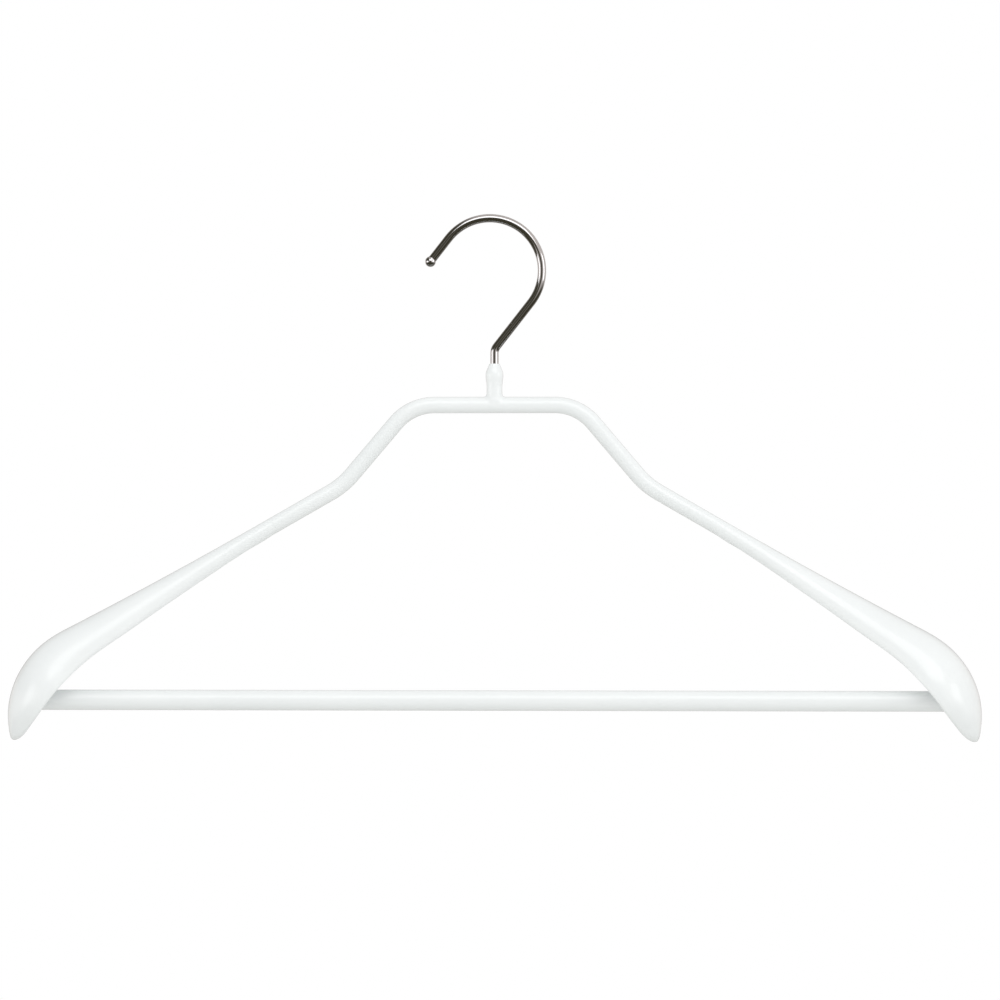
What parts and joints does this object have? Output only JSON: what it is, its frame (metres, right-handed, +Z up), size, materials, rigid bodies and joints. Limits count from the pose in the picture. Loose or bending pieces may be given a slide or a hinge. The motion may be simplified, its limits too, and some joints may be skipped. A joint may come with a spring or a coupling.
{
  "type": "clothes hanger",
  "caption": "Body-shaped suit hanger: coated steel tube frame with pressed shoulder shells, trouser bar and a chromed swivel hook.",
  "frame": {"origin": "on the swivel axis of the hook, at the height of the hook's inner crown, where the rail bears", "axes": "+Z up along the swivel axis, +X along the hanger's width to the wearer's left as seen from the front, the front faces -Y"},
  "size_m": [0.4212, 0.0394, 0.2269],
  "materials": {
    "chromed_wire": "polished chrome plate on steel wire",
    "bare_steel": "mild steel under the coating",
    "weld": "steel weld, dipped with the rest",
    "white_coating": "satin white non-slip dip coating"
  },
  "bodies": {
    "hook": {"hook": "chromed_wire"},
    "hanger": {"neck_sleeve": "bare_steel", "frame_tube": "bare_steel", "right_shoulder_shell": "bare_steel", "left_shoulder_shell": "bare_steel", "trouser_bar": "bare_steel", "neck_weld": "weld", "right_bar_weld": "weld", "left_bar_weld": "weld", "neck_coating": "white_coating", "frame_coating": "white_coating", "right_shoulder_coating": "white_coating", "left_shoulder_coating": "white_coating", "bar_coating": "white_coating"}
  },
  "joints": [
    {"name": "hook_swivel", "type": "hinge", "parent": "hook", "child": "hanger", "pos_m": [0, 0, -0.0634], "axis": [0, 0, 1], "continuous": true}
  ]
}
